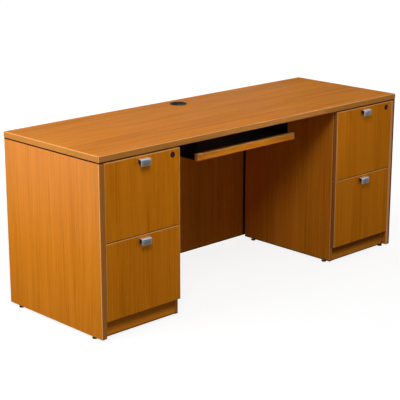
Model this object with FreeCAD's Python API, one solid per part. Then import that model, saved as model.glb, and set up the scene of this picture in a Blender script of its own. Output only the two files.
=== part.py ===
import FreeCAD, Part
import math
import os

# Computer desk: a worktop on two end panels and a modesty panel, with a file pedestal at each
# end and a pull-out keyboard tray in the kneehole.
# Millimetres. X runs along the desk, Y from front to back, Z up. The origin is on the floor,
# under the middle of the desk's outline, drawer pulls included.

# Worktop
desk_length = 1803.0
desk_depth = 610.0
desk_height = 749.0
top_thickness = 25.0
top_overhang = 1.0
edge_radius = 3.0

# End panels and modesty panel
end_panel_thickness = 25.0
modesty_thickness = 18.0
floor_gap = 10.0

# Levelling glides
glide_radius = 11.0
glide_rim = 2.0
glide_stem_radius = 4.0
glide_stem_length = 24.0
glide_fit = 0.2
panel_glide_front_inset = 62.0
panel_glide_back_inset = 62.0
outer_glide_front_inset = 12.0
inner_glide_front_inset = 42.0
pedestal_glide_back_inset = 50.0

# Pedestal cabinets
pedestal_width = 394.0
pedestal_wall = 16.0
pedestal_back_thickness = 8.0
pedestal_modesty_gap = 22.0
cabinet_floor_thickness = 16.0
plinth_thickness = 16.0
plinth_setback = 3.0
top_rail_thickness = 18.0
top_rail_depth = 70.0
front_rail_setback = 18.0

# Drawer fronts
front_thickness = 18.0
front_top_gap = 6.0
front_seam = 3.0
front_floor_height = 79.0
front_side_gap = 2.0
front_back_gap = 2.0
front_edge_radius = 2.0

# Drawer boxes, whose bottoms sit in grooves
box_wall = 12.0
box_rise = 22.0
box_top_drop = 46.0
box_back_gap = 25.0
box_bottom_thickness = 6.0
groove_depth = 5.0
groove_rise = 10.0
groove_fit = 0.2

# Telescopic drawer slides: a cabinet rail, a middle member and a drawer rail, nested
slide_space = 13.0
slide_height = 45.0
slide_steel = 1.2
slide_web_gap = 1.0
slide_play = 0.3
slide_rise = 60.0
slide_front_setback = 4.0
slide_back_setback = 8.0

# Bent-plate drawer pulls
pull_width = 50.0
pull_height = 28.0
pull_projection = 18.0
pull_plate = 3.5
pull_bend = 5.0
pull_corner_radius = 2.0
pull_foot = 18.0
pull_drop = 12.0

# Cam locks of the upper drawers
lock_side_inset = 40.0
lock_drop = 24.0
lock_flange_radius = 11.5
lock_flange_thickness = 2.0
lock_body_radius = 8.0
lock_body_fit = 0.1
lock_back_reach = 2.0
lock_plug_radius = 5.5
lock_plug_play = 0.1
lock_tail_radius = 3.5
lock_tail_reach = 1.5
keyway_width = 1.6
keyway_height = 7.0
keyway_depth = 4.0
cam_length = 20.0
cam_width = 12.0
cam_thickness = 2.5
cam_fit = 0.1

# Cable grommet
grommet_inset = 80.0
grommet_hole_radius = 32.0
grommet_fit = 0.2
grommet_flange_radius = 39.0
grommet_flange_thickness = 3.5
grommet_recess = 1.0
grommet_wall = 2.2
grommet_length = 20.0
grommet_ledge_width = 2.5
grommet_ledge_thickness = 2.0
cap_thickness = 3.5
cap_play = 0.3
notch_width = 22.0
notch_depth = 20.0

# Keyboard tray and its hangers
tray_front_length = 597.0
tray_front_height = 30.0
tray_front_thickness = 18.0
tray_setback = 92.0
tray_clear_height = 83.0
tray_lip = 8.0
tray_board_thickness = 16.0
tray_board_depth = 340.0
tray_end_cover = 22.0
tray_rail_space = 13.0
tray_rail_height = 24.0
tray_rail_setback = 3.0
hanger_steel = 2.0
hanger_flange_width = 26.0
hanger_drop = 6.0
hanger_slant_run = 23.0
hanger_slant_drop = 29.0

# Steel angles between worktop and modesty panel
bracket_leg = 40.0
bracket_width = 30.0
bracket_steel = 2.5
bracket_shares = (-0.42, -0.15, 0.15, 0.42)

# Wood screws
screw_radius = 2.2
screw_head_radius = 4.5
screw_head_height = 2.5
screw_bite = 13.0
screw_fit = 0.1
rail_screw_shares = (0.2, 0.8)
hanger_screw_shares = (0.1, 0.5, 0.9)
angle_screw_share = 0.6

# One overrun serves every cut that has to pass a face
overrun = 1.0

# Places that follow from the sizes above
front_plane = (pull_projection + top_overhang - desk_depth) / 2
top_front = front_plane - top_overhang
top_back = top_front + desk_depth
panel_back = top_back - top_overhang
modesty_front = panel_back - modesty_thickness
under_top = desk_height - top_thickness
grommet_seat = desk_height - grommet_recess
panel_face = desk_length / 2 - top_overhang
pedestal_outer = panel_face - end_panel_thickness
pedestal_inner = pedestal_outer - pedestal_width
front_back = front_plane + front_thickness
wall_front = front_back + front_back_gap
pedestal_back = modesty_front - pedestal_modesty_gap
back_panel_front = pedestal_back - pedestal_back_thickness
front_top = under_top - front_top_gap
front_height = (front_top - front_floor_height - front_seam) / 2
box_back = back_panel_front - box_back_gap
cabinet_floor_top = front_floor_height
tray_front_top = under_top - tray_clear_height
tray_front_bottom = tray_front_top - tray_front_height
tray_board_top = tray_front_top - tray_lip
tray_board_middle = tray_board_top - tray_board_thickness / 2
tray_front_back = front_plane + tray_setback + tray_front_thickness
tray_back = tray_front_back + tray_board_depth
hanger_outer = tray_front_length / 2 - tray_end_cover
hanger_inner = hanger_outer - hanger_steel
tray_board_edge = hanger_inner - tray_rail_space

pedestals = {
    "left": (-pedestal_outer, -pedestal_inner),
    "right": (pedestal_inner, pedestal_outer),
}
front_bottoms = {
    "upper": front_top - front_height,
    "lower": front_floor_height,
}

X_AXIS = FreeCAD.Vector(1, 0, 0)
Y_AXIS = FreeCAD.Vector(0, 1, 0)
Z_AXIS = FreeCAD.Vector(0, 0, 1)

nodes = {}


def add(name, *shapes):
    """Put shapes into a named node, as separate solids."""
    solids = nodes.setdefault(name, [])
    for shape in shapes:
        solids.extend(shape.Solids)


def board(x, y, z):
    """A flat board that fills three spans, each given from low to high."""
    corner = FreeCAD.Vector(x[0], y[0], z[0])
    return Part.makeBox(x[1] - x[0], y[1] - y[0], z[1] - z[0], corner)


def rounded(shape, radius):
    """The same board with every edge rounded over."""
    return shape.makeFillet(radius, shape.Edges)


def edges_along(shape, axis):
    """The straight edges of a board that run along an axis."""
    return [edge for edge in shape.Edges if round(abs(edge.tangentAt(edge.FirstParameter).dot(axis)))]


def rod(radius, start, end):
    """A round bar between two points."""
    direction = end - start
    return Part.makeCylinder(radius, direction.Length, start, direction)


def prism(points, along):
    """The solid that a closed outline sweeps along a vector."""
    return Part.Face(Part.makePolygon(points + points[:1])).extrude(along)


def share_of(span, share):
    """The place at a share of the way along a span."""
    return span[0] + share * (span[1] - span[0])


def channel(web_x, facing, flange, half_height, y, z, steel=slide_steel):
    """A C-shaped steel rail along Y: its web stands at web_x and its flanges point along facing."""
    inner_height = half_height - steel
    outline = [
        (0, -half_height), (flange, -half_height), (flange, -inner_height), (steel, -inner_height),
        (steel, inner_height), (flange, inner_height), (flange, half_height), (0, half_height),
    ]
    points = [FreeCAD.Vector(web_x + facing * u, y[0], z + v) for u, v in outline]
    return prism(points, Y_AXIS * (y[1] - y[0]))


def angle(corner, first, second, leg, width):
    """A bent steel angle: legs along two directions from the middle of its corner, as wide as given."""
    steel = bracket_steel
    outline = [(0, 0), (leg, 0), (leg, steel), (steel, steel), (steel, leg), (0, leg)]
    across = first.cross(second)
    points = [corner + first * u + second * v - across * (width / 2) for u, v in outline]
    return prism(points, across * width)


# Screws are listed as they are placed, and the boards they enter are drilled for them.
screws = []
drillings = {}


def drive_screw(name, head_face, direction, grip, *drilled):
    """A screw whose head bears on a face, and the hole that it needs in each drilled node."""
    tip = head_face + direction * (grip + screw_bite)
    head = rod(screw_head_radius, head_face - direction * screw_head_height, head_face)
    screws.append(head.fuse(rod(screw_radius, head_face, tip)).removeSplitter())
    hole = rod(screw_radius + screw_fit, head_face - direction * overrun, tip + direction * screw_fit)
    for node in (name,) + drilled:
        drillings.setdefault(node, []).append(hole)


def make_glide(x, y):
    """A glide that stands on the floor, with its stem up in a board."""
    foot = FreeCAD.Vector(x, y, 0)
    face = foot + Z_AXIS * floor_gap
    rim = Part.makeCone(glide_radius - glide_rim, glide_radius, glide_rim, foot)
    pad = rod(glide_radius, foot + Z_AXIS * glide_rim, face)
    stem = rod(glide_stem_radius, face, face + Z_AXIS * glide_stem_length)
    return rim.fuse([pad, stem]).removeSplitter()


def glide_socket(x, y):
    """The hole in a board's lower edge that takes a glide's stem."""
    face = FreeCAD.Vector(x, y, floor_gap)
    top = face + Z_AXIS * (glide_stem_length + glide_fit)
    return rod(glide_stem_radius + glide_fit, face - Z_AXIS * overrun, top)


def stand_on_glides(shape, x, places):
    """Drill a board for glides at the given places along Y, and add the glides."""
    for y in places:
        add("levelling_glides", make_glide(x, y))
    return shape.cut([glide_socket(x, y) for y in places])


# Worktop, end panels and modesty panel
def make_shell():
    top = board((-desk_length / 2, desk_length / 2), (top_front, top_back), (under_top, desk_height))
    seat = FreeCAD.Vector(0, top_back - grommet_inset, grommet_seat)
    above = seat + Z_AXIS * (grommet_recess + overrun)
    hole = rod(grommet_hole_radius, seat - Z_AXIS * top_thickness, above)
    recess = rod(grommet_flange_radius + grommet_fit, seat, above)
    add("desk_top", rounded(top, edge_radius).cut([hole, recess]))

    glide_places = (front_plane + panel_glide_front_inset, panel_back - panel_glide_back_inset)
    for side, x in (("left", (-panel_face, -pedestal_outer)), ("right", (pedestal_outer, panel_face))):
        panel = rounded(board(x, (front_plane, panel_back), (floor_gap, under_top)), edge_radius)
        add(side + "_end_panel", stand_on_glides(panel, share_of(x, 1 / 2), glide_places))

    modesty_span = (-pedestal_outer, pedestal_outer)
    add("modesty_panel", board(modesty_span, (modesty_front, panel_back), (floor_gap, under_top)))

    for share in bracket_shares:
        corner = FreeCAD.Vector(share * pedestal_inner * 2, modesty_front, under_top)
        add("corner_brackets", angle(corner, -Y_AXIS, -Z_AXIS, bracket_leg, bracket_width))
        reach = bracket_leg * angle_screw_share
        up_face = corner - Y_AXIS * reach - Z_AXIS * bracket_steel
        drive_screw("corner_brackets", up_face, Z_AXIS, bracket_steel, "desk_top")
        back_face = corner - Z_AXIS * reach - Y_AXIS * bracket_steel
        drive_screw("corner_brackets", back_face, Y_AXIS, bracket_steel, "modesty_panel")


# Cable grommet: a sleeve with a let-in flange in the worktop, and a loose cap with a cable notch
def make_grommet():
    centre = FreeCAD.Vector(0, top_back - grommet_inset, grommet_seat)
    flange_top = centre + Z_AXIS * grommet_flange_thickness
    sleeve_end = centre - Z_AXIS * grommet_length
    cap_bottom = flange_top - Z_AXIS * cap_thickness
    ledge_bottom = cap_bottom - Z_AXIS * grommet_ledge_thickness
    tube_radius = grommet_hole_radius - grommet_fit
    bore_radius = tube_radius - grommet_wall

    sleeve = rod(grommet_flange_radius, centre, flange_top).fuse(rod(tube_radius, sleeve_end, centre))
    above_ledge = rod(bore_radius, cap_bottom, flange_top + Z_AXIS * overrun)
    through = rod(bore_radius - grommet_ledge_width, sleeve_end - Z_AXIS * overrun, flange_top)
    below_ledge = rod(bore_radius, sleeve_end - Z_AXIS * overrun, ledge_bottom)
    add("grommet_sleeve", sleeve.cut([above_ledge, through, below_ledge]).removeSplitter())

    cap_radius = bore_radius - cap_play
    notch_end = cap_radius - notch_depth + notch_width / 2
    notch_floor = cap_bottom - Z_AXIS * overrun
    notch_rise = Z_AXIS * (cap_thickness + overrun * 2)
    round_end = notch_floor - X_AXIS * notch_end
    notch = board(
        (centre.x - cap_radius - overrun, round_end.x),
        (centre.y - notch_width / 2, centre.y + notch_width / 2),
        (notch_floor.z, notch_floor.z + notch_rise.z),
    ).fuse(rod(notch_width / 2, round_end, round_end + notch_rise))
    add("grommet_cap", rod(cap_radius, cap_bottom, flange_top).cut(notch))


# Pedestal cabinet: two walls, back, floor, top rails and plinth
def make_pedestal(side, x):
    inside = (x[0] + pedestal_wall, x[1] - pedestal_wall)
    depth = (wall_front, pedestal_back)
    wall_spans = ((x[0], inside[0]), (inside[1], x[1]))
    outer, inner = wall_spans if side == "left" else wall_spans[::-1]
    back_glide = pedestal_back - pedestal_glide_back_inset
    for name, span, front_inset in (
            ("outer_side", outer, outer_glide_front_inset),
            ("inner_side", inner, inner_glide_front_inset)):
        wall = board(span, depth, (floor_gap, under_top))
        glide_places = (wall_front + front_inset, back_glide)
        add(side + "_pedestal_" + name, stand_on_glides(wall, share_of(span, 1 / 2), glide_places))

    add(side + "_pedestal_back", board(inside, (back_panel_front, pedestal_back), (floor_gap, under_top)))
    plinth_front = wall_front + plinth_setback
    plinth_back = plinth_front + plinth_thickness
    add(side + "_plinth", board(inside, (plinth_front, plinth_back), (floor_gap, cabinet_floor_top)))
    floor_z = (cabinet_floor_top - cabinet_floor_thickness, cabinet_floor_top)
    add(side + "_pedestal_floor", board(inside, (plinth_back, back_panel_front), floor_z))

    rails = side + "_pedestal_top_rails"
    rail_fronts = (wall_front + front_rail_setback, back_panel_front - top_rail_depth)
    rail_z = (under_top - top_rail_thickness, under_top)
    for rail_front in rail_fronts:
        add(rails, board(inside, (rail_front, rail_front + top_rail_depth), rail_z))
        for share in rail_screw_shares:
            face = FreeCAD.Vector(share_of(inside, share), rail_front + top_rail_depth / 2, rail_z[0])
            drive_screw(rails, face, Z_AXIS, top_rail_thickness, "desk_top")


# Drawer: front, grooved box, bottom and pull, between its telescopic slides
def make_drawer(side, level, x):
    name = side + "_" + level + "_drawer"
    front_x = (x[0] + front_side_gap, x[1] - front_side_gap)
    front_z = (front_bottoms[level], front_bottoms[level] + front_height)
    front = rounded(board(front_x, (front_plane, front_back), front_z), front_edge_radius)
    if level == "upper":
        front = fit_lock(side, name, front, front_x[1] - lock_side_inset, front_z[1] - lock_drop)
    add(name + "_front", front)
    add(name + "_pull", make_pull(share_of(front_x, 1 / 2), front_z[1] - pull_drop))

    cabinet_x = (x[0] + pedestal_wall, x[1] - pedestal_wall)
    box_x = (cabinet_x[0] + slide_space, cabinet_x[1] - slide_space)
    box_y = (front_back, box_back)
    box_z = (front_z[0] + box_rise, front_z[1] - box_top_drop)
    inner_x = (box_x[0] + box_wall, box_x[1] - box_wall)
    inner_y = (box_y[0] + box_wall, box_y[1] - box_wall)

    groove_x = (inner_x[0] - groove_depth, inner_x[1] + groove_depth)
    groove_y = (inner_y[0] - groove_depth, inner_y[1] + groove_depth)
    groove_bottom = box_z[0] + groove_rise
    groove_top = groove_bottom + box_bottom_thickness + groove_fit
    groove = board(groove_x, groove_y, (groove_bottom, groove_top))
    for span in ((box_x[0], inner_x[0]), (inner_x[1], box_x[1])):
        add(name + "_sides", board(span, box_y, box_z).cut(groove))
    for span in ((box_y[0], inner_y[0]), (inner_y[1], box_y[1])):
        add(name + "_ends", board(inner_x, span, box_z).cut(groove))
    add(name + "_bottom", board(
        (groove_x[0] + groove_fit, groove_x[1] - groove_fit),
        (groove_y[0] + groove_fit, groove_y[1] - groove_fit),
        (groove_bottom, groove_bottom + box_bottom_thickness),
    ))

    slide_y = (wall_front + slide_front_setback, box_back - slide_back_setback)
    slide_z = box_z[0] + slide_rise
    flange = slide_space - (slide_steel + slide_web_gap) * 2
    step = slide_steel + slide_play
    half = slide_height / 2
    for wall, facing in ((cabinet_x[0], 1), (cabinet_x[1], -1)):
        middle_web = wall + facing * (slide_steel + slide_web_gap)
        drawer_web = wall + facing * slide_space
        add(side + "_cabinet_rails", channel(wall, facing, flange, half, slide_y, slide_z))
        add(side + "_" + level + "_middle_rails",
            channel(middle_web, facing, flange, half - step, slide_y, slide_z))
        add(name + "_rails", channel(drawer_web, -facing, flange, half - step * 2, slide_y, slide_z))


def make_pull(x, top):
    """A plate bent into a hook: a foot on the drawer front, a top flange and a finger plate."""
    inner_bend = pull_bend - pull_plate
    bend_y = pull_bend - pull_projection

    def at(y, z):
        return FreeCAD.Vector(x - pull_width / 2, front_plane + y, top + z)

    def bend(radius):
        """A quarter arc of the bend, from the top flange to the finger plate."""
        circle = Part.Circle(at(bend_y, -pull_bend), X_AXIS, radius)
        start = circle.parameter(at(bend_y, radius - pull_bend))
        return circle.toShape(start, start + math.pi / 2)

    plate_back = pull_plate - pull_projection
    runs = [
        [at(-pull_projection, -pull_bend), at(-pull_projection, -pull_height),
         at(plate_back, -pull_height), at(plate_back, -pull_bend)],
        [at(bend_y, inner_bend - pull_bend), at(-pull_plate, -pull_plate), at(-pull_plate, -pull_foot),
         at(0, -pull_foot), at(0, 0), at(bend_y, 0)],
    ]
    edges = [edge for run in runs for edge in Part.makePolygon(run).Edges]
    edges += [bend(pull_bend), bend(inner_bend)]
    outline = Part.Wire(Part.__sortEdges__(edges))
    hook = Part.Face(outline).extrude(X_AXIS * pull_width)

    corners = board(
        (x - pull_width / 2, x + pull_width / 2),
        (front_plane - pull_projection, front_plane),
        (top - pull_height, top + pull_corner_radius * 2),
    )
    return hook.common(corners.makeFillet(pull_corner_radius, edges_along(corners, Y_AXIS)))


def fit_lock(side, drawer, front, x, z):
    """Drill a drawer front for a cam lock, and add its barrel, plug and cam."""
    face = FreeCAD.Vector(x, front_plane, z)
    flange_face = face - Y_AXIS * lock_flange_thickness
    barrel_end = face + Y_AXIS * (front_thickness + lock_back_reach)
    tail_end = barrel_end + Y_AXIS * (cam_thickness + lock_tail_reach)
    bore_radius = lock_plug_radius + lock_plug_play

    barrel = rod(lock_flange_radius, flange_face, face).fuse(rod(lock_body_radius, face, barrel_end))
    bore = rod(bore_radius, flange_face - Y_AXIS * overrun, barrel_end + Y_AXIS * overrun)
    add(drawer + "_lock_barrel", barrel.cut(bore).removeSplitter())

    plug = rod(lock_plug_radius, flange_face, barrel_end).fuse(rod(lock_tail_radius, barrel_end, tail_end))
    keyway = board(
        (x - keyway_width / 2, x + keyway_width / 2),
        (flange_face.y - overrun, flange_face.y + keyway_depth),
        (z - keyway_height / 2, z + keyway_height / 2),
    )
    cam_end = barrel_end + Y_AXIS * cam_thickness
    blade = board((x - cam_length, x), (barrel_end.y, cam_end.y), (z - cam_width / 2, z + cam_width / 2))
    eye = rod(lock_tail_radius + cam_fit, barrel_end - Y_AXIS * overrun, cam_end + Y_AXIS * overrun)
    cam = blade.fuse(rod(cam_width / 2, barrel_end, cam_end)).cut(eye).removeSplitter()
    add(side + "_lock_plug", plug.cut(keyway).removeSplitter(), cam)

    hole = rod(lock_body_radius + lock_body_fit, flange_face, barrel_end)
    return front.cut(hole)


# Keyboard tray: board and front strip on two-part slides, hung from the worktop
def make_tray():
    rail_y = (tray_front_back + tray_rail_setback, tray_back)
    half = tray_rail_height / 2
    flange = tray_rail_space - slide_steel - slide_web_gap
    tray_y = (tray_front_back, tray_back)
    board_z = (tray_board_top - tray_board_thickness, tray_board_top)
    add("tray_board", board((-tray_board_edge, tray_board_edge), tray_y, board_z))
    strip = board(
        (-tray_front_length / 2, tray_front_length / 2),
        (tray_front_back - tray_front_thickness, tray_front_back),
        (tray_front_bottom, tray_front_top),
    )
    add("tray_front_strip", rounded(strip, front_edge_radius))

    hanger_length = Y_AXIS * (rail_y[1] - rail_y[0])
    hanger_bottom = tray_front_bottom - hanger_drop
    flange_bottom = under_top - hanger_steel
    flange_tip = hanger_outer + hanger_flange_width
    section = [
        (hanger_inner, hanger_bottom), (hanger_outer, hanger_bottom), (hanger_outer, flange_bottom),
        (flange_tip, flange_bottom), (flange_tip, under_top), (hanger_inner, under_top),
    ]
    slant_end = rail_y[0] + hanger_slant_run
    slant_foot = under_top - hanger_slant_drop
    before = rail_y[0] - overrun
    above = under_top + overrun
    slant = [
        (before, slant_foot), (rail_y[0], slant_foot), (slant_end, under_top),
        (slant_end, above), (before, above),
    ]
    for side in (-1, 1):
        hanger = prism([FreeCAD.Vector(side * u, rail_y[0], v) for u, v in section], hanger_length)
        corner = prism([FreeCAD.Vector(0, u, v) for u, v in slant], X_AXIS * side * (flange_tip + overrun))
        add("tray_hangers", hanger.cut(corner))
        add("tray_hanger_rails",
            channel(side * hanger_inner, -side, flange, half, rail_y, tray_board_middle))
        add("tray_rails", channel(
            side * tray_board_edge, side, flange, half - slide_steel - slide_play, rail_y, tray_board_middle))
        for share in hanger_screw_shares:
            x = side * (hanger_outer + hanger_flange_width / 2)
            face = FreeCAD.Vector(x, share_of(rail_y, share), flange_bottom)
            drive_screw("tray_hangers", face, Z_AXIS, hanger_steel, "desk_top")


make_shell()
make_grommet()
for pedestal_side, pedestal_x in pedestals.items():
    make_pedestal(pedestal_side, pedestal_x)
    for drawer_level in front_bottoms:
        make_drawer(pedestal_side, drawer_level, pedestal_x)
make_tray()

add("fixing_screws", *screws)
for node, holes in drillings.items():
    nodes[node] = [cut for solid in nodes[node] for cut in solid.cut(holes).Solids]

os.makedirs("parts", exist_ok=True)
for node, solids in nodes.items():
    Part.makeCompound(solids).exportStep(os.path.join("parts", node + ".step"))
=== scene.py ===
import math
from functools import cached_property

import bmesh
import bpy
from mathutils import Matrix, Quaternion, Vector


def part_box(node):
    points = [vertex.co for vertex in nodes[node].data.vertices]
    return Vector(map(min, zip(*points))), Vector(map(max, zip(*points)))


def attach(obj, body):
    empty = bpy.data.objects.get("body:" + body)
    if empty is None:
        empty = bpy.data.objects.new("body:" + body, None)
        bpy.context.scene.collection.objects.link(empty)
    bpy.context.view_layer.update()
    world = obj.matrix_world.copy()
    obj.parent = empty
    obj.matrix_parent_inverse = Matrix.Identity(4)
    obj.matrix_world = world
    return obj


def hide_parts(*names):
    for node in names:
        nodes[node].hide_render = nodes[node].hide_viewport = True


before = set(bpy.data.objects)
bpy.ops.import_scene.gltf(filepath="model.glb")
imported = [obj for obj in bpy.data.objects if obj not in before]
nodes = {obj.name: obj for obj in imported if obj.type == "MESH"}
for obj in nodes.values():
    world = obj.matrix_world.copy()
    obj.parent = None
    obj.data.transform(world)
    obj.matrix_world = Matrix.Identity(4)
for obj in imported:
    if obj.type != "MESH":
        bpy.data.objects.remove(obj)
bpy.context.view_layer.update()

# Computer desk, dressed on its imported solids. Metres, in the shared frame:
# X along the desk, Y from front to back, Z up from the floor.
scene = bpy.context.scene
scene.view_settings.view_transform = "Standard"

MM = 0.001
SIDES = ("left", "right")
LEVELS = ("upper", "lower")
DRAWERS = [side + "_" + level + "_drawer" for side in SIDES for level in LEVELS]


# Colours

def srgb(red, green, blue):
    """A colour as it is seen on a screen, as the linear value that a shader takes."""
    def linear(value):
        value /= 255
        return value / 12.92 if value <= 0.04045 else ((value + 0.055) / 1.055) ** 2.4
    return (linear(red), linear(green), linear(blue), 1)


WHITE = (1, 1, 1, 1)
FLOOR_GREY = (0.25, 0.25, 0.25, 1)
SHADE = srgb(62, 26, 12)
SHEEN_PEACH = srgb(240, 160, 114)
WOOD_REFLECTION = srgb(96, 62, 36)
PALE_BAND = srgb(240, 163, 108)
PAINTED_HIGHLIGHT = srgb(232, 228, 226)
SCUFF_AND_HIGHLIGHT = srgb(76, 76, 78)
HONEY = dict(light=srgb(240, 148, 42), middle=srgb(230, 138, 32), dark=srgb(206, 116, 20),
             band=srgb(196, 124, 50), arris=srgb(255, 190, 118))
TOP = dict(HONEY, light=srgb(244, 151, 42), dark=srgb(196, 107, 18), band=srgb(217, 143, 65))
FRONTS = dict(HONEY, light=srgb(244, 148, 30), middle=srgb(235, 138, 21), dark=srgb(208, 115, 12))
# Painted light: the strip's colours and end band are paler than the other boards', as if more light falls on
# it
STRIP = dict(light=srgb(255, 160, 40), middle=srgb(250, 151, 32), dark=srgb(228, 130, 20),
             band=srgb(255, 190, 112), arris=srgb(255, 205, 140))
LEFT_PLINTH = dict(HONEY, light=srgb(250, 155, 46), middle=srgb(242, 145, 36), dark=srgb(216, 123, 24))
# Painted shade: the right plinth's colours are a darker copy of the left one's
RIGHT_PLINTH = dict(HONEY, light=srgb(226, 139, 42), middle=srgb(218, 130, 34), dark=srgb(195, 111, 23))
# Painted shade: the top rails are dark, as the gap under the worktop that shows them is in shade
SHADED_RAIL = dict(light=srgb(104, 58, 22), middle=srgb(92, 50, 17), dark=srgb(76, 40, 12),
              band=srgb(70, 40, 16), arris=srgb(120, 76, 40))
BIRCH = dict(light=srgb(226, 201, 160), dark=srgb(204, 174, 128))


# Shader nodes

# The Mix node's sockets for colours, and how far a board's grain may be moved, in metres
MIX_FACTOR, MIX_FIRST, MIX_SECOND, MIX_RESULT = 0, 6, 7, 2
BOARD_SHIFT = (3.7, 2.9, 5.3)


class Shading:
    """A shader's tree of nodes, with short ways to add to it."""

    def __init__(self, tree):
        self.tree = tree

    def put(self, node, inputs):
        """Give each named input a constant, or link another node's output to it."""
        for key, value in inputs.items():
            if isinstance(value, bpy.types.NodeSocket):
                self.tree.links.new(value, node.inputs[key])
            else:
                node.inputs[key].default_value = value

    def add(self, kind, inputs=None, **settings):
        node = self.tree.nodes.new("ShaderNode" + kind)
        for key, value in settings.items():
            setattr(node, key, value)
        self.put(node, inputs or {})
        return node

    def maths(self, operation, *values):
        return self.add("Math", dict(enumerate(values)), operation=operation).outputs[0]

    def total(self, *parts, base=0.0):
        """The sum of values, each times its share, on top of a base."""
        for value, share in parts:
            base = self.maths("MULTIPLY_ADD", value, share, base)
        return base

    def span(self, value, low, high, start=0.0, end=1.0):
        """A value carried from low..high to start..end, and held there."""
        inputs = {"Value": value, "From Min": low, "From Max": high, "To Min": start, "To Max": end}
        return self.add("MapRange", inputs).outputs["Result"]

    def blend(self, factor, first, second):
        inputs = {MIX_FACTOR: factor, MIX_FIRST: first, MIX_SECOND: second}
        return self.add("Mix", inputs, data_type="RGBA").outputs[MIX_RESULT]

    def ramp(self, factor, *stops):
        """Colours at places along a value, blended from each to the next."""
        node = self.add("ValToRGB", {"Fac": factor})
        elements = node.color_ramp.elements
        for place, _ in stops[2:]:
            elements.new(place)
        for element, (place, colour) in zip(elements, sorted(stops)):
            element.position = place
            element.color = colour
        return node.outputs["Color"]


class Look(Shading):
    """A procedural material around one Principled shader."""

    def __init__(self, name, **constants):
        self.material = bpy.data.materials.new(name)
        self.material.use_nodes = True
        super().__init__(self.material.node_tree)
        self.shader = self.tree.nodes["Principled BSDF"]
        self.put(self.shader, {key.replace("_", " "): value for key, value in constants.items()})
        self.place = self.add("TexCoord").outputs

    @cached_property
    def normal(self):
        """The direction of the surface, in parts along the object's axes."""
        return self.add("SeparateXYZ", {0: self.place["Normal"]}).outputs

    @cached_property
    def facing(self):
        """How far the surface faces along each of the object's axes, whichever way round."""
        return {axis: self.maths("ABSOLUTE", part) for axis, part in zip("XYZ", self.normal)}

    @cached_property
    def to_front(self):
        """One where the surface faces the front of the desk."""
        return self.span(self.normal["Y"], low=-0.9, high=-0.5, start=1.0, end=0.0)

    def shifted(self):
        """Object coordinates, moved by a different amount on each board."""
        chance = self.add("ObjectInfo").outputs["Random"]
        shift = self.add("VectorMath", {0: BOARD_SHIFT, "Scale": chance}, operation="SCALE").outputs[0]
        return self.add("VectorMath", {0: self.place["Object"], 1: shift}, operation="ADD").outputs[0]

    def noise(self, vector, across, along=None, grain="Z", detail=2.0, roughness=0.5, distortion=0.0):
        """Noise with so many waves to the metre across the grain and along it."""
        along = across if along is None else along
        scale = [along if axis == grain else across for axis in "XYZ"]
        stretched = self.add("Mapping", {"Vector": vector, "Scale": scale}).outputs[0]
        inputs = {"Vector": stretched, "Scale": 1.0, "Detail": detail, "Roughness": roughness,
                  "Distortion": distortion}
        return self.add("TexNoise", inputs).outputs[0]

    def arris(self):
        """One on the rounded-over edges that face neither down nor back, nought on the flat faces: a mask
        for pale edges that are partly wear and partly painted highlight, left off the edges turned from the
        light.
        """
        level = self.maths("MAXIMUM", self.facing["X"], self.facing["Y"])
        most = self.maths("MAXIMUM", level, self.facing["Z"])
        rounded = self.span(most, low=0.93, high=0.995, start=1.0, end=0.0)
        not_down = self.span(self.normal["Z"], low=-0.5, high=-0.1)
        not_back = self.span(self.normal["Y"], low=0.1, high=0.5, start=1.0, end=0.0)
        return self.maths("MULTIPLY", rounded, self.maths("MULTIPLY", not_down, not_back))

    def border(self, board, ends, width=4.2 * MM, blur=0.8 * MM):
        """One on a narrow line along the named ends of a board's faces, such as -Y for the front one."""
        low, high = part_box(board)
        lengths = dict(zip("XYZ", high - low))
        parts = self.add("SeparateXYZ", {0: self.place["Generated"]}).outputs
        line = 0.0
        for end, axis in ends:
            outer, inner = (width - blur) / lengths[axis], width / lengths[axis]
            if end == "-":
                rim = self.span(parts[axis], outer, inner, start=1.0, end=0.0)
            else:
                rim = self.span(parts[axis], 1 - inner, 1 - outer)
            line = self.maths("MAXIMUM", line, rim)
        return line

    def bump(self, height, strength, distance):
        node = self.add("Bump", {"Height": height, "Strength": strength, "Distance": distance})
        self.put(self.shader, {"Normal": node.outputs[0]})


# Materials

# The darkest of a band's grain, as a share of its colour; the heights where a painted sheen starts and is
# full; and an upright shadow, which is even up to 6 mm from its line and gone at 10 mm
BAND_GRAIN = 0.80
PAINTED_SHEEN_HEIGHTS = (0.30, 0.72)
UPRIGHT_SHADOW = (6 * MM, 10 * MM, 0.9, 0.0)


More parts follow.
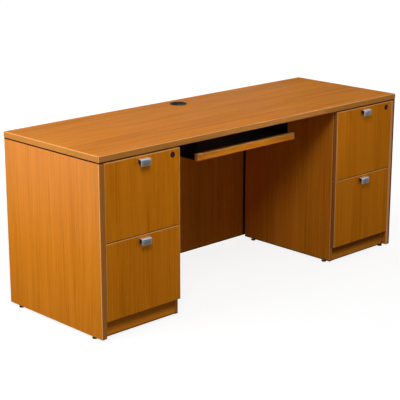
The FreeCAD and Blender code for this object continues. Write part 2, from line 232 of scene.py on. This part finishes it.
def wood(name, grain, thin, light, middle, dark, band, arris, board=None, ends=(), shadows=(), corner=None,
         painted_sheen=0.0, front_band=None):
    """Wood-grain laminate for a board that is thin along one axis: figure, streaks and pores along the grain
    and a plainer edge band. The named ends of a board's faces get a pale line, partly the edge band's trim
    and partly painted highlight; a painted sheen, standing in for a reflection, pales an outer board towards
    its top; and front_band is the band of a front edge that differs. Shadows are bands of painted shade by
    height, as where an upright board meets the worktop or the floor; corner places an upright one, on what
    faces the front, by its distance from the middle of the desk."""
    look = Look(name, Specular_IOR_Level=0.008)
    place = look.shifted()
    figure = look.noise(place, across=16, along=0.7, grain=grain, detail=3, distortion=0.7)
    streak = look.noise(place, across=165, along=2.4, grain=grain, detail=4, roughness=0.65)
    line = look.noise(place, across=520, along=7, grain=grain, detail=3, roughness=0.6)
    pore = look.span(look.noise(place, across=1100, along=42, grain=grain, detail=1), low=0.60, high=0.72)
    smear = look.noise(place, across=5, detail=3)
    across_desk, _, height = look.add("SeparateXYZ", {0: look.place["Object"]}).outputs

    tone = look.total((streak, 0.48), (figure, 0.30), (line, 0.22))
    face = look.ramp(tone, (0.38, dark), (0.50, middle), (0.62, light))
    face = look.blend(look.maths("MULTIPLY", pore, 0.45), face, dark)
    # Painted sheen: the board pales towards its top, as a reflection of light would make it
    if painted_sheen:
        face = look.blend(look.span(height, *PAINTED_SHEEN_HEIGHTS, end=painted_sheen), face, SHEEN_PEACH)

    def banded(colour):
        """An edge band with a fainter grain."""
        dim = tuple(value * BAND_GRAIN for value in colour[:3]) + (1,)
        return look.ramp(tone, (0.36, dim), (0.58, colour))

    edge = banded(band)
    if front_band:
        edge = look.blend(look.to_front, edge, banded(front_band))
    flat = look.maths("GREATER_THAN", look.facing[thin], 0.5)
    colour = look.blend(flat, edge, face)

    # Pale rounded edges and pale lines along the named ends: partly wear, partly painted highlight
    wear_and_highlight = look.arris()
    if board:
        wear_and_highlight = look.maths("MAXIMUM", wear_and_highlight, look.maths("MULTIPLY", flat, look.border(board, ends)))
    colour = look.blend(look.maths("MULTIPLY", wear_and_highlight, 0.8), colour, arris)

    for shadow in shadows:
        colour = look.blend(look.span(height, *shadow), colour, SHADE)
    if corner:
        off_line = look.maths("SUBTRACT", look.maths("ABSOLUTE", across_desk), corner)
        upright = look.span(look.maths("ABSOLUTE", off_line), *UPRIGHT_SHADOW)
        colour = look.blend(look.maths("MULTIPLY", upright, look.to_front), colour, SHADE)

    gloss = look.total((smear, 0.16), (pore, 0.12), base=0.40)
    look.put(look.shader, {"Base Color": colour, "Roughness": gloss})
    look.bump(look.total((line, 0.5), (pore, -0.7)), strength=0.12, distance=0.4 * MM)
    return look.material


def foil(name, grain, light, dark):
    """Pale printed foil on the drawer boxes."""
    look = Look(name, Specular_IOR_Level=0.3)
    place = look.shifted()
    streak = look.noise(place, across=90, along=2.5, grain=grain, detail=4, roughness=0.6)
    line = look.noise(place, across=700, along=10, grain=grain, detail=2)
    smear = look.noise(place, across=14, detail=3)
    colour = look.ramp(look.total((line, 0.3), (streak, 0.7)), (0.35, dark), (0.62, light))
    gloss = look.span(smear, low=0.3, high=0.7, start=0.42, end=0.58)
    look.put(look.shader, {"Base Color": colour, "Roughness": gloss})
    look.bump(line, strength=0.10, distance=0.3 * MM)
    return look.material


def brushed(name, grain, bright, dull, smooth, rough, painted_highlight=None):
    """Brushed metal with fine scratches along the grain and cloudy wear, and pale edges that are partly wear
    and partly painted highlight. With a painted highlight colour, its tops and the front parts of its ends
    are painted paler and less metallic; painted shade darkens the ends behind, and a painted reflection of
    the wood browns it downwards."""
    look = Look(name, Metallic=1.0)
    scratch = look.noise(look.place["Object"], across=2600, along=30, grain=grain, detail=3, roughness=0.65)
    cloud = look.noise(look.place["Object"], across=55, detail=4)
    tone = look.total((cloud, 0.4), (scratch, 0.6))
    colour = look.ramp(tone, (0.34, dull), (0.66, bright))
    scuffs_and_highlights = look.maths("MULTIPLY", look.arris(), 0.5)
    if painted_highlight:
        _, depth, rise = look.add("SeparateXYZ", {0: look.place["Generated"]}).outputs
        # Painted reflection of the wood: browner downwards
        colour = look.blend(look.span(rise, low=0.1, high=0.65, start=0.62, end=0.0), colour, WOOD_REFLECTION)
        # Painted shade on the ends behind; painted highlight on the tops and the ends ahead, less metallic
        # there
        behind = look.span(depth, low=0.55, high=0.75)
        shaded_ends = look.maths("MULTIPLY", look.facing["X"], behind)
        colour = look.blend(look.maths("MULTIPLY", shaded_ends, 0.9), colour, SHADE)
        lit_ends = look.maths("SUBTRACT", look.facing["X"], shaded_ends)
        highlit = look.span(look.maths("MAXIMUM", look.facing["Z"], lit_ends), low=0.4, high=0.8)
        scuffs_and_highlights = look.maths("MAXIMUM", scuffs_and_highlights, look.maths("MULTIPLY", highlit, 0.9))
        look.put(look.shader, {"Metallic": look.span(highlit, low=0.0, high=1.0, start=1.0, end=0.2)})
    colour = look.blend(scuffs_and_highlights, colour, painted_highlight or bright)
    gloss = look.span(tone, low=0.3, high=0.7, start=rough, end=smooth)
    look.put(look.shader, {"Base Color": colour, "Roughness": gloss})
    look.bump(scratch, strength=0.10, distance=0.2 * MM)
    return look.material


def moulded(name, light, dark, smooth, rough, texture, depth, wear_and_highlight=None, **constants):
    """Moulded plastic, rubber, powder coat or black laminate: a fine pebbled skin with so many pebbles to
    the metre, rubbed patches, and pale edges that are partly wear and partly painted highlight."""
    look = Look(name, **constants)
    pebble = look.noise(look.place["Object"], texture, detail=2)
    rub = look.noise(look.place["Object"], across=26, detail=4, roughness=0.6)
    colour = look.ramp(look.total((rub, 0.65), (pebble, 0.35)), (0.36, dark), (0.66, light))
    colour = look.blend(look.maths("MULTIPLY", look.arris(), 0.5), colour, wear_and_highlight or light)
    gloss = look.span(rub, low=0.3, high=0.7, start=smooth, end=rough)
    look.put(look.shader, {"Base Color": colour, "Roughness": gloss})
    look.bump(pebble, strength=0.25, distance=depth)
    return look.material


def shadow_from(level, low, high, low_share, high_share):
    """A band of shade: two heights from a level, in millimetres, and the share of shade at each."""
    return (level + low * MM, level + high * MM, low_share, high_share)


# Shadows on upright boards
FLOOR_LEVEL = 0.0
top_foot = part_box("desk_top")[0].z
front_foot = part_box("left_lower_drawer_front")[0].z
board_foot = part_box("left_plinth")[0].z
under_top = shadow_from(top_foot, low=-6, high=-4, low_share=0.0, high_share=1.0)
under_left_front = shadow_from(front_foot, low=-54, high=-30, low_share=0.0, high_share=0.50)
under_right_front = shadow_from(front_foot, low=-50, high=-26, low_share=0.0, high_share=0.75)
at_foot = shadow_from(board_foot, low=3, high=6.5, low_share=0.9, high_share=0.0)
left_falloff = shadow_from(FLOOR_LEVEL, low=100, high=700, low_share=0.10, high_share=0.0)
right_falloff = shadow_from(FLOOR_LEVEL, low=100, high=700, low_share=0.18, high_share=0.0)

# Upright shadows: down the outer edge of the right end panel, and on the modesty panel at the pedestals
OUTER_INSET = 3 * MM
PEDESTAL_INSET = 16 * MM
outer_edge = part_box("right_end_panel")[1].x - OUTER_INSET
beside_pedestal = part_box("right_pedestal_inner_side")[0].x + PEDESTAL_INSET

PANEL_PAINTED_SHEEN = 0.27
wood_top = wood("wood_top", "X", "Z", board="desk_top", ends=("-X", "+X", "-Y"), **TOP)
wood_strip = wood("wood_strip", "X", "Y", board="tray_front_strip", ends=("-X", "+X", "+Z"), **STRIP)
wood_left_front = wood("wood_left_front", "Z", "Y", board="left_upper_drawer_front", ends=("+X", "+Z"),
                       shadows=[left_falloff], **FRONTS)
wood_right_front = wood("wood_right_front", "Z", "Y", board="right_upper_drawer_front", ends=("-X", "+Z"),
                        shadows=[right_falloff], **FRONTS)
wood_left_panel = wood("wood_left_panel", "Z", "X", board="left_end_panel", ends=("-Y", "+Y"),
                       shadows=[under_top], painted_sheen=PANEL_PAINTED_SHEEN, **HONEY)
wood_right_panel = wood("wood_right_panel", "Z", "X", board="right_end_panel", ends=("-Y", "+Y"),
                        shadows=[under_top], corner=outer_edge, painted_sheen=PANEL_PAINTED_SHEEN, front_band=PALE_BAND,
                        **HONEY)
wood_side = wood("wood_side", "Z", "X", board="left_pedestal_inner_side", ends=("-Y",),
                 shadows=[under_top, at_foot], **HONEY)
wood_back = wood("wood_back", "Z", "Y", shadows=[under_top], **HONEY)
wood_modesty = wood("wood_modesty", "Z", "Y", shadows=[under_top, at_foot], corner=beside_pedestal, **HONEY)
wood_floor = wood("wood_floor", "X", "Z", **HONEY)
wood_rail = wood("wood_rail", "X", "Z", **SHADED_RAIL)
wood_left_plinth = wood("wood_left_plinth", "X", "Y", shadows=[under_left_front, at_foot],
                        **LEFT_PLINTH)
wood_right_plinth = wood("wood_right_plinth", "X", "Y", shadows=[under_right_front, at_foot],
                         **RIGHT_PLINTH)
foil_deep = foil("foil_deep", "Y", **BIRCH)
foil_wide = foil("foil_wide", "X", **BIRCH)
satin = brushed("satin_nickel", "X", srgb(100, 112, 122), srgb(71, 81, 90), smooth=0.28, rough=0.44,
                painted_highlight=PAINTED_HIGHLIGHT)
# Painted shade: a darker copy of the nickel, for the shaded foot of each pull
shaded = brushed("shaded_nickel", "X", srgb(52, 47, 43), srgb(32, 28, 25), smooth=0.40, rough=0.56)
zinc = brushed("zinc_plate", "Y", srgb(196, 199, 203), srgb(142, 146, 150), smooth=0.28, rough=0.46)
black_coat = moulded("black_powder_coat", srgb(26, 26, 28), srgb(14, 14, 15), smooth=0.42, rough=0.58,
                     texture=1400, depth=0.2 * MM, Specular_IOR_Level=0.03)
black_board = moulded("black_laminate", srgb(38, 37, 37), srgb(22, 22, 23), smooth=0.46, rough=0.60,
                      texture=2200, depth=0.1 * MM)
black_plastic = moulded("black_plastic", srgb(28, 27, 27), srgb(13, 13, 13), smooth=0.42, rough=0.56,
                        texture=3000, depth=0.1 * MM, wear_and_highlight=SCUFF_AND_HIGHLIGHT, Specular_IOR_Level=0.006)
black_lock = moulded("black_lock", srgb(18, 16, 15), srgb(7, 6, 6), smooth=0.40, rough=0.55,
                     texture=2600, depth=0.1 * MM, Specular_IOR_Level=0.05)
lock_plug = moulded("lock_plug", srgb(66, 44, 30), srgb(40, 26, 18), smooth=0.34, rough=0.46,
                    texture=2600, depth=0.1 * MM, Specular_IOR_Level=0.1)
rubber = moulded("grey_rubber", srgb(120, 118, 114), srgb(92, 90, 87), smooth=0.5, rough=0.7,
                 texture=1800, depth=0.1 * MM)

NODE_LOOKS = {
    wood_top: ["desk_top"],
    wood_strip: ["tray_front_strip"],
    wood_left_front: ["left_{level}_drawer_front"],
    wood_right_front: ["right_{level}_drawer_front"],
    wood_left_panel: ["left_end_panel"],
    wood_right_panel: ["right_end_panel"],
    wood_side: ["{side}_pedestal_outer_side", "{side}_pedestal_inner_side"],
    wood_back: ["{side}_pedestal_back"],
    wood_modesty: ["modesty_panel"],
    wood_floor: ["{side}_pedestal_floor"],
    wood_rail: ["{side}_pedestal_top_rails"],
    wood_left_plinth: ["left_plinth"],
    wood_right_plinth: ["right_plinth"],
    foil_deep: ["{side}_{level}_drawer_sides", "{side}_{level}_drawer_bottom"],
    foil_wide: ["{side}_{level}_drawer_ends"],
    satin: ["{side}_{level}_drawer_pull"],
    zinc: ["corner_brackets", "fixing_screws", "{side}_cabinet_rails", "{side}_{level}_drawer_rails",
           "{side}_{level}_middle_rails"],
    black_coat: ["tray_hangers", "tray_hanger_rails", "tray_rails"],
    black_board: ["tray_board"],
    black_plastic: ["levelling_glides", "grommet_sleeve", "grommet_cap"],
    black_lock: ["{side}_upper_drawer_lock_barrel"],
    lock_plug: ["{side}_lock_plug"],
}
for material, patterns in NODE_LOOKS.items():
    for pattern in patterns:
        for name in {pattern.format(side=side, level=level) for side in SIDES for level in LEVELS}:
            mesh = nodes[name].data
            mesh.materials.clear()
            mesh.materials.append(material)


# Mesh building: lengths in millimetres, places in metres

SHARP = math.radians(40)
WELD = 0.01
AHEAD = (0, -1, 0)
BEHIND = (0, 1, 0)
UP = (0, 0, 1)


def stitch(shape, rings, closed=False):
    """Skin a row of rings with faces; a ring of one point is a tip."""
    for lower, upper in zip(rings, rings[1:] + (rings[:1] if closed else [])):
        for step in range(max(len(lower), len(upper))):
            corners = [lower[step % len(lower)], lower[(step + 1) % len(lower)],
                       upper[(step + 1) % len(upper)], upper[step % len(upper)]]
            shape.faces.new(list(dict.fromkeys(corners)))


def turn(shape, profile, centre, axis, closed=False, steps=48):
    """Turn a profile of (radius, height) pairs about an axis through a centre."""
    axis = Vector(axis)
    side = axis.orthogonal().normalized()
    rings = []
    for radius, height in profile:
        middle = Vector(centre) + axis * height * MM
        turns = [Quaternion(axis, math.tau * step / steps) for step in range(steps if radius else 1)]
        rings.append([shape.verts.new(middle + spin @ side * radius * MM) for spin in turns])
    stitch(shape, rings, closed)


def arc(centre, radius, start, end, steps=5):
    """Points on an arc between two angles, in degrees."""
    angles = [math.radians(start + (end - start) * step / steps) for step in range(steps + 1)]
    x, y = centre
    return [(x + radius * math.cos(angle), y + radius * math.sin(angle)) for angle in angles]


def slab(shape, outline, along):
    """Sweep a closed outline along a vector into a solid, and give its last face."""
    lower = [shape.verts.new(point) for point in outline]
    upper = [shape.verts.new(Vector(point) + Vector(along)) for point in outline]
    stitch(shape, [lower, upper])
    shape.faces.new(lower[::-1])
    return shape.faces.new(upper)


def ease(shape, radius, steps=2, pick=None):
    """Round over the sharp edges of a shape, or the edges that are picked."""
    bmesh.ops.recalc_face_normals(shape, faces=shape.faces)
    edges = [edge for edge in shape.edges if (pick(edge) if pick else edge.calc_face_angle(0) > SHARP)]
    bmesh.ops.bevel(shape, geom=edges, offset=radius * MM, segments=steps, profile=0.5, affect="EDGES")


def islands(name):
    """The boxes of the separate solids in a node, as pairs of corners."""
    shape = bmesh.new()
    shape.from_mesh(nodes[name].data)
    bmesh.ops.remove_doubles(shape, verts=shape.verts, dist=WELD * MM)
    seen = set()
    boxes = []
    for first in shape.verts:
        if first in seen:
            continue
        seen.add(first)
        group = [first]
        for vert in group:
            near = [edge.other_vert(vert) for edge in vert.link_edges]
            fresh = [other for other in near if other not in seen]
            seen.update(fresh)
            group.extend(fresh)
        spans = list(zip(*(vert.co for vert in group)))
        boxes.append((Vector(map(min, spans)), Vector(map(max, spans))))
    shape.free()
    return sorted(boxes, key=lambda box: tuple(box[0]))


def piece(name, shape, look, body, slot, *stands_for, second_look=None):
    """Turn a shape into an object that rides on a body, perhaps in the place of CAD nodes."""
    bmesh.ops.recalc_face_normals(shape, faces=shape.faces)
    mesh = bpy.data.meshes.new(name)
    shape.to_mesh(mesh)
    shape.free()
    mesh.polygons.foreach_set("use_smooth", [True] * len(mesh.polygons))
    mesh.set_sharp_from_angle(angle=SHARP)
    mesh.materials.append(look)
    if second_look:
        mesh.materials.append(second_look)
    made = bpy.data.objects.new(name, mesh)
    scene.collection.objects.link(made)
    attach(made, body)
    if stands_for:
        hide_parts(*stands_for)


def middle_of(low, high):
    return (low + high) / 2


# Drawer pulls: a plate bent into a hook, with eased edges

def make_pull(drawer, plate=3.5, bend=5, corner=2, foot=18, easing=0.5):
    low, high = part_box(drawer + "_pull")
    size = (high - low) / MM
    bend_at = (bend - size.y, -bend)
    outline = [(0, -foot), (0, 0)] + arc(bend_at, bend, 90, 180)
    outline += [(-size.y, -size.z), (plate - size.y, -size.z)]
    outline += arc(bend_at, bend - plate, 180, 90, steps=3)
    outline += [(-plate, -plate), (-plate, -foot)]
    shape = bmesh.new()
    points = [Vector((low.x, high.y + y * MM, high.z + z * MM)) for y, z in outline]
    slab(shape, points, (high.x - low.x, 0, 0))

    def lower_corner(edge):
        run = edge.verts[0].co - edge.verts[1].co
        across_plate = abs(run.y) > max(abs(run.x), abs(run.z))
        return across_plate and edge.verts[0].co.z < low.z + MM

    ease(shape, corner, steps=4, pick=lower_corner)
    ease(shape, easing)
    # Painted shade: the faces on the foot of the hook take the darker nickel
    for face in shape.faces:
        middle = face.calc_center_median()
        on_foot = middle.y > high.y - (plate + easing) * MM
        face.material_index = int(on_foot and middle.z < high.z - plate * MM)
    piece(drawer + "_bent_pull", shape, satin, drawer, "satin_metal", drawer + "_pull", second_look=shaded)


for drawer in DRAWERS:
    make_pull(drawer)


# Locks: a rounded, grooved ring on the drawer front and a nut behind it

LOCK_BODY = 8


def make_lock_ring(side, rise=2, bore=5.6, chamfer=0.4, chamfer_rise=0.5, groove_place=0.47, groove_top=0.4,
                   groove_floor=0.2, groove_depth=0.3):
    drawer = side + "_upper_drawer"
    low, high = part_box(drawer + "_lock_barrel")
    centre = middle_of(low, high)
    centre.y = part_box(drawer + "_front")[0].y
    depth = (high.y - centre.y) / MM
    flange = (high.x - low.x) / 2 / MM
    groove = (bore + flange) * groove_place
    lip = rise / 2
    profile = [(bore, -depth), (bore, rise - chamfer_rise), (bore + chamfer, rise)]
    profile += [(groove - groove_top, rise), (groove - groove_floor, rise - groove_depth)]
    profile += [(groove + groove_floor, rise - groove_depth), (groove + groove_top, rise)]
    profile += arc((flange - lip, rise - lip), lip, 90, 0)
    profile += [(flange, 0), (LOCK_BODY, 0), (LOCK_BODY, -depth)]
    shape = bmesh.new()
    turn(shape, profile, centre, AHEAD, closed=True)
    piece(side + "_lock_ring", shape, black_lock, drawer, "black_steel", drawer + "_lock_barrel")


def make_lock_nut(side, gap=0.6, radius=12, rise=1.9, easing=0.3):
    drawer = side + "_upper_drawer"
    centre = middle_of(*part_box(drawer + "_lock_barrel"))
    centre.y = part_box(drawer + "_front")[1].y
    bore = LOCK_BODY + gap
    profile = [(bore, 0), (radius, 0), (radius, rise), (bore, rise)]
    shape = bmesh.new()
    turn(shape, profile, centre, BEHIND, closed=True, steps=6)
    ease(shape, easing)
    piece(side + "_lock_nut", shape, zinc, drawer, "steel")


for side in SIDES:
    make_lock_ring(side)
    make_lock_nut(side)


# Cable grommet: a sleeve with a rolled lip, and a dished cap with a cable notch

def make_sleeve(tube=31.8, bore=29.6, ledge=27.1, ledge_rise=2, lip=2.2, inner_lip=0.8):
    low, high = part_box("grommet_sleeve")
    seat = middle_of(low, high)
    seat.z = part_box("grommet_cap")[0].z
    flange = (high.x - low.x) / 2 / MM
    rise = (high.z - seat.z) / MM
    end = (low.z - seat.z) / MM
    profile = [(tube, end), (tube, 0), (flange, 0)] + arc((flange - lip, rise - lip), lip, 0, 90)
    profile += arc((bore + inner_lip, rise - inner_lip), inner_lip, 90, 180, steps=3)
    profile += [(bore, 0), (ledge, 0), (ledge, -ledge_rise), (bore, -ledge_rise), (bore, end)]
    shape = bmesh.new()
    turn(shape, profile, seat, UP, closed=True, steps=72)
    piece("grommet_lipped_sleeve", shape, black_plastic, "desk", "black_plastic", "grommet_sleeve")


def make_cap(notch=22, notch_depth=20, dish_rim=3, dish_depth=0.6, easing=0.4):
    low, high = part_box("grommet_cap")
    rim = (high.x - low.x) / 2 / MM
    mouth = math.degrees(math.acos(notch / 2 / rim))
    outline = arc((0, 0), rim, mouth, -180 - mouth, steps=60)
    outline += arc((0, rim - notch_depth + notch / 2), notch / 2, 180, 360, steps=16)
    centre = middle_of(low, high)
    centre.z = low.z
    shape = bmesh.new()
    top = slab(shape, [centre + Vector((-y, x, 0)) * MM for x, y in outline], (0, 0, high.z - low.z))
    bmesh.ops.recalc_face_normals(shape, faces=shape.faces)
    bmesh.ops.inset_region(shape, faces=[top], thickness=dish_rim * MM, depth=-dish_depth * MM)
    ease(shape, easing)
    piece("grommet_dished_cap", shape, black_plastic, "grommet_cap", "black_plastic", "grommet_cap")


make_sleeve()
make_cap()


# Levelling glides: a rounded pad and a stem, with a nut against the board

def make_glides(pad=11, rim=2, shoulder=1.6, pad_rise=6.2, collar=2, collar_rise=0.5, stem=4, nut=7.4,
                nut_gap=0.1, easing=0.3):
    pads = bmesh.new()
    nuts = bmesh.new()
    nut_foot = pad_rise + collar_rise
    nut_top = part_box("left_end_panel")[0].z / MM
    nut_bore = stem + nut_gap
    nut_profile = [(nut_bore, nut_foot), (nut, nut_foot), (nut, nut_top), (nut_bore, nut_top)]
    for low, high in islands("levelling_glides"):
        foot = middle_of(low, high)
        foot.z = 0
        stem_top = high.z / MM
        profile = [(0, 0)] + arc((pad - rim, rim), rim, -90, 0)
        profile += arc((pad - shoulder, pad_rise - shoulder), shoulder, 0, 90)
        profile += [(stem + collar, nut_foot), (stem, nut_foot), (stem, stem_top), (0, stem_top)]
        turn(pads, profile, foot, UP, steps=32)
        turn(nuts, nut_profile, foot, UP, closed=True, steps=6)
    ease(nuts, easing)
    piece("glide_pads", pads, black_plastic, "desk", "black_plastic", "levelling_glides")
    piece("glide_nuts", nuts, zinc, "desk", "steel")


make_glides()


# Screws with cross-recessed pan heads

# Shares of a head's radius and rise, and a wood screw's point: its length and its end's share of the shank
PAN_HEAD = ((1.0, 0.0), (1.0, 0.35), (0.9, 0.72), (0.7, 0.94), (0.58, 1.0))
RECESS_ARM = 0.46
RECESS_HALF = 0.13
RECESS_FLOOR = 0.4
RECESS_TAPER = 0.7
POINT_LENGTH = 3
POINT_SHARE = 0.5


def cross_screw(shape, seat, out, head=4.5, rise=2.5, shank=0.0, length=0.0, steps=24):
    """A pan head that bears on a face and stands out from it, with its shank behind the face."""
    out = Vector(out)
    side = out.orthogonal().normalized()
    other = out.cross(side)
    profile = [(shank * POINT_SHARE, -length), (shank, POINT_LENGTH - length), (shank, 0)] if shank else []
    profile += [(head * across, rise * up) for across, up in PAN_HEAD]
    turns = [math.tau * step / steps for step in range(steps)]
    rounds = [[(radius * math.cos(angle), radius * math.sin(angle)) for angle in turns]
              for radius, _ in profile]
    arm, half = head * RECESS_ARM, head * RECESS_HALF
    middle = (arm + half) / 2
    quarter = [(arm, 0), (arm, half), (middle, half), (half, half), (half, middle), (half, arm)]
    quarter_turns = ((1, 0), (0, 1), (-1, 0), (0, -1))
    cross = [(u * c - v * s, u * s + v * c) for c, s in quarter_turns for u, v in quarter]
    rounds += [cross, [(u * RECESS_TAPER, v * RECESS_TAPER) for u, v in cross]]
    levels = [height for _, height in profile] + [rise, rise * RECESS_FLOOR]
    rings = [[shape.verts.new(Vector(seat) + (side * u + other * v + out * level) * MM) for u, v in ring]
             for ring, level in zip(rounds, levels)]
    stitch(shape, rings)
    shape.faces.new(rings[0][::-1])
    shape.faces.new(rings[-1])


def make_fixing_screws(rise=2.5, shank=2.2):
    shape = bmesh.new()
    for low, high in islands("fixing_screws"):
        size = high - low
        along = max(range(3), key=lambda axis: size[axis])
        out = Vector([-1.0 if axis == along else 0.0 for axis in range(3)])
        seat = middle_of(low, high)
        seat[along] = low[along] + rise * MM
        cross_screw(shape, seat, out, rise=rise, shank=shank, length=size[along] / MM - rise)
    piece("pan_head_screws", shape, zinc, "desk", "steel", "fixing_screws")


make_fixing_screws()


# Drawer fittings: file rails on the box sides, screws, and bumpers behind the front

BOX_WALL = 12


def make_file_rails(drawer, sheet=1.4, skirt=12, fin=9, inset=14, easing=0.4):
    box_low, box_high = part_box(drawer + "_sides")
    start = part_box(drawer + "_front")[1].y + (BOX_WALL + inset) * MM
    run = box_high.y - (BOX_WALL + inset) * MM - start
    inner, lip = BOX_WALL, BOX_WALL + sheet
    outline = [(0, 0), (inner, 0), (inner, -skirt), (lip, -skirt), (lip, fin), (inner, fin), (inner, sheet),
               (0, sheet)]
    shape = bmesh.new()
    for inwards, wall in ((1, box_low.x), (-1, box_high.x)):
        points = [Vector((wall + inwards * u * MM, start, box_high.z + v * MM)) for u, v in outline]
        slab(shape, points, (0, run, 0))
    ease(shape, easing)
    piece(drawer + "_file_rails", shape, black_plastic, drawer, "black_plastic")


def make_drawer_screws(drawer, box_spread=110, box_heights=(0.2, 0.8), pull_spread=16, pull_drop=9,
                       head=4.2, rise=2.0, web=1.2, rail_shares=(0.08, 0.5, 0.92), rail_head=3.4,
                       rail_head_rise=1.5):
    box_low, box_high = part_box(drawer + "_sides")
    front_low, front_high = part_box(drawer + "_front")
    rail_low, rail_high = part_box(drawer + "_rails")
    pull_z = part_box(drawer + "_pull")[1].z - pull_drop * MM
    rail_z = (rail_low.z + rail_high.z) / 2
    middle_x = (front_low.x + front_high.x) / 2
    front_back = front_high.y
    shape = bmesh.new()
    for across in (-box_spread, box_spread):
        for share in box_heights:
            z = box_low.z + share * (box_high.z - box_low.z)
            place = (middle_x + across * MM, front_back + BOX_WALL * MM, z)
            cross_screw(shape, place, BEHIND, head, rise)
    for across in (-pull_spread, pull_spread):
        cross_screw(shape, (middle_x + across * MM, front_back, pull_z), BEHIND, head, rise)
    for outwards, wall in ((-1, box_low.x), (1, box_high.x)):
        for share in rail_shares:
            y = rail_low.y + share * (rail_high.y - rail_low.y)
            place = (wall + outwards * web * MM, y, rail_z)
            cross_screw(shape, place, (outwards, 0, 0), rail_head, rail_head_rise)
    piece(drawer + "_screws", shape, zinc, drawer, "steel")


def make_bumpers(drawer, radius=4.6, rise=1.7, edge=1.0, side_inset=7, end_inset=30):
    low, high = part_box(drawer + "_front")
    profile = [(0, 0), (radius, 0)] + arc((radius - edge, rise - edge), edge, 0, 90) + [(0, rise)]
    shape = bmesh.new()
    for x in (low.x + side_inset * MM, high.x - side_inset * MM):
        for z in (low.z + end_inset * MM, high.z - end_inset * MM):
            turn(shape, profile, (x, high.y, z), BEHIND, steps=28)
    piece(drawer + "_bumpers", shape, rubber, drawer, "black_plastic")


for drawer in DRAWERS:
    make_file_rails(drawer)
    make_drawer_screws(drawer)
    make_bumpers(drawer)


# Floor and surround: white to the camera and in reflections, and a weak light otherwise

# The floor's glow is carried from two distances from the middle of the desk to its strength at each
AMBIENT = 0.13
FLOOR_HALF = 40
FLOOR_GLOW = dict(low=1.2, high=3.6, start=0.85, end=1.0)


def to_viewer(shading):
    """One for the camera's rays and for those that metal and glass send on."""
    path = shading.add("LightPath").outputs
    sent_on = shading.maths("MAXIMUM", path["Is Glossy Ray"], path["Is Transmission Ray"])
    return shading.maths("MAXIMUM", path["Is Camera Ray"], sent_on)


def floor_material():
    """Pale grey paint that shows white to the viewer, a little less so near the desk to keep its shadow."""
    material = bpy.data.materials.new("pale_floor")
    material.use_nodes = True
    shading = Shading(material.node_tree)
    shading.tree.nodes.remove(shading.tree.nodes["Principled BSDF"])
    place = shading.add("NewGeometry").outputs["Position"]
    reach = shading.add("VectorMath", {0: place}, operation="LENGTH").outputs["Value"]
    paint = shading.add("BsdfDiffuse", {"Color": FLOOR_GREY}).outputs[0]
    strength = shading.span(reach, **FLOOR_GLOW)
    glow = shading.add("Emission", {"Color": WHITE, "Strength": strength}).outputs[0]
    lit = shading.add("AddShader", {0: paint, 1: glow}).outputs[0]
    shown = shading.add("MixShader", {0: to_viewer(shading), 1: paint, 2: lit}).outputs[0]
    shading.put(shading.tree.nodes["Material Output"], {"Surface": shown})
    return material


def make_floor():
    shape = bmesh.new()
    bmesh.ops.create_grid(shape, x_segments=8, y_segments=8, size=FLOOR_HALF)
    mesh = bpy.data.meshes.new("floor")
    shape.to_mesh(mesh)
    shape.free()
    mesh.materials.append(floor_material())
    floor = bpy.data.objects.new("floor", mesh)
    scene.collection.objects.link(floor)


def make_surround():
    scene.world = bpy.data.worlds.new("studio")
    scene.world.use_nodes = True
    shading = Shading(scene.world.node_tree)
    ambient = shading.tree.nodes["Background"]
    shading.put(ambient, {"Color": WHITE, "Strength": AMBIENT})
    white = shading.add("Background", {"Color": WHITE, "Strength": 1.0})
    inputs = {0: to_viewer(shading), 1: ambient.outputs[0], 2: white.outputs[0]}
    shown = shading.add("MixShader", inputs).outputs[0]
    shading.put(shading.tree.nodes["World Output"], {"Surface": shown})


make_floor()
make_surround()


# Lamps

def softbox(name, place, target, width, height, power, spread=180):
    """A large soft lamp that faces a point; a grid in front of it can narrow its spread."""
    lamp = bpy.data.lights.new(name, "AREA")
    lamp.shape = "RECTANGLE"
    lamp.size = width
    lamp.size_y = height
    lamp.energy = power
    lamp.spread = math.radians(spread)
    holder = bpy.data.objects.new(name, lamp)
    holder.location = place
    holder.rotation_euler = (Vector(target) - Vector(place)).to_track_quat("-Z", "Y").to_euler()
    scene.collection.objects.link(holder)


softbox("left_lamp", place=(-2.1, 0.15, 1.08), target=(-0.9, 0.1, 0.55), width=0.9, height=0.7,
        power=14.2)
softbox("front_lamp", place=(-1.8, -2.0, 3.4), target=(-0.1, -0.1, 0.4), width=1.6, height=1.2, power=54)
softbox("top_lamp", place=(0.5, 0.1, 3.6), target=(0.4, 0, 0.7), width=2.4, height=1.6, power=16.5)
softbox("fill_lamp", place=(4.4, -5.2, 1.2), target=(0, -0.2, 0.5), width=1.4, height=1.0, power=52)
softbox("tray_lamp", place=(2.6, -3.0, 0.85), target=(-0.05, -0.2, 0.63), width=0.3, height=0.2,
        power=0.22, spread=12)
softbox("rear_lamp", place=(1.9, 2.9, 0.7), target=(0.3, 0.2, 0.45), width=2.4, height=0.5, power=38)


# Camera, at the photograph's angle: lengths of the lens in millimetres, angles in degrees

SENSOR = 36
FOCAL_LENGTH = 112.92
CAMERA_PLACE = (-3.790, -3.846, 1.866)
LOOKS_DOWN = 15.73
HEADING = 46.1
FAR_LIMIT = 200

lens = bpy.data.cameras.new("camera")
lens.sensor_width = SENSOR
lens.lens = FOCAL_LENGTH
lens.clip_end = FAR_LIMIT
camera = bpy.data.objects.new("camera", lens)
camera.location = CAMERA_PLACE
camera.rotation_euler = (math.radians(90 - LOOKS_DOWN), 0, math.radians(HEADING - 90))
scene.collection.objects.link(camera)
scene.camera = camera
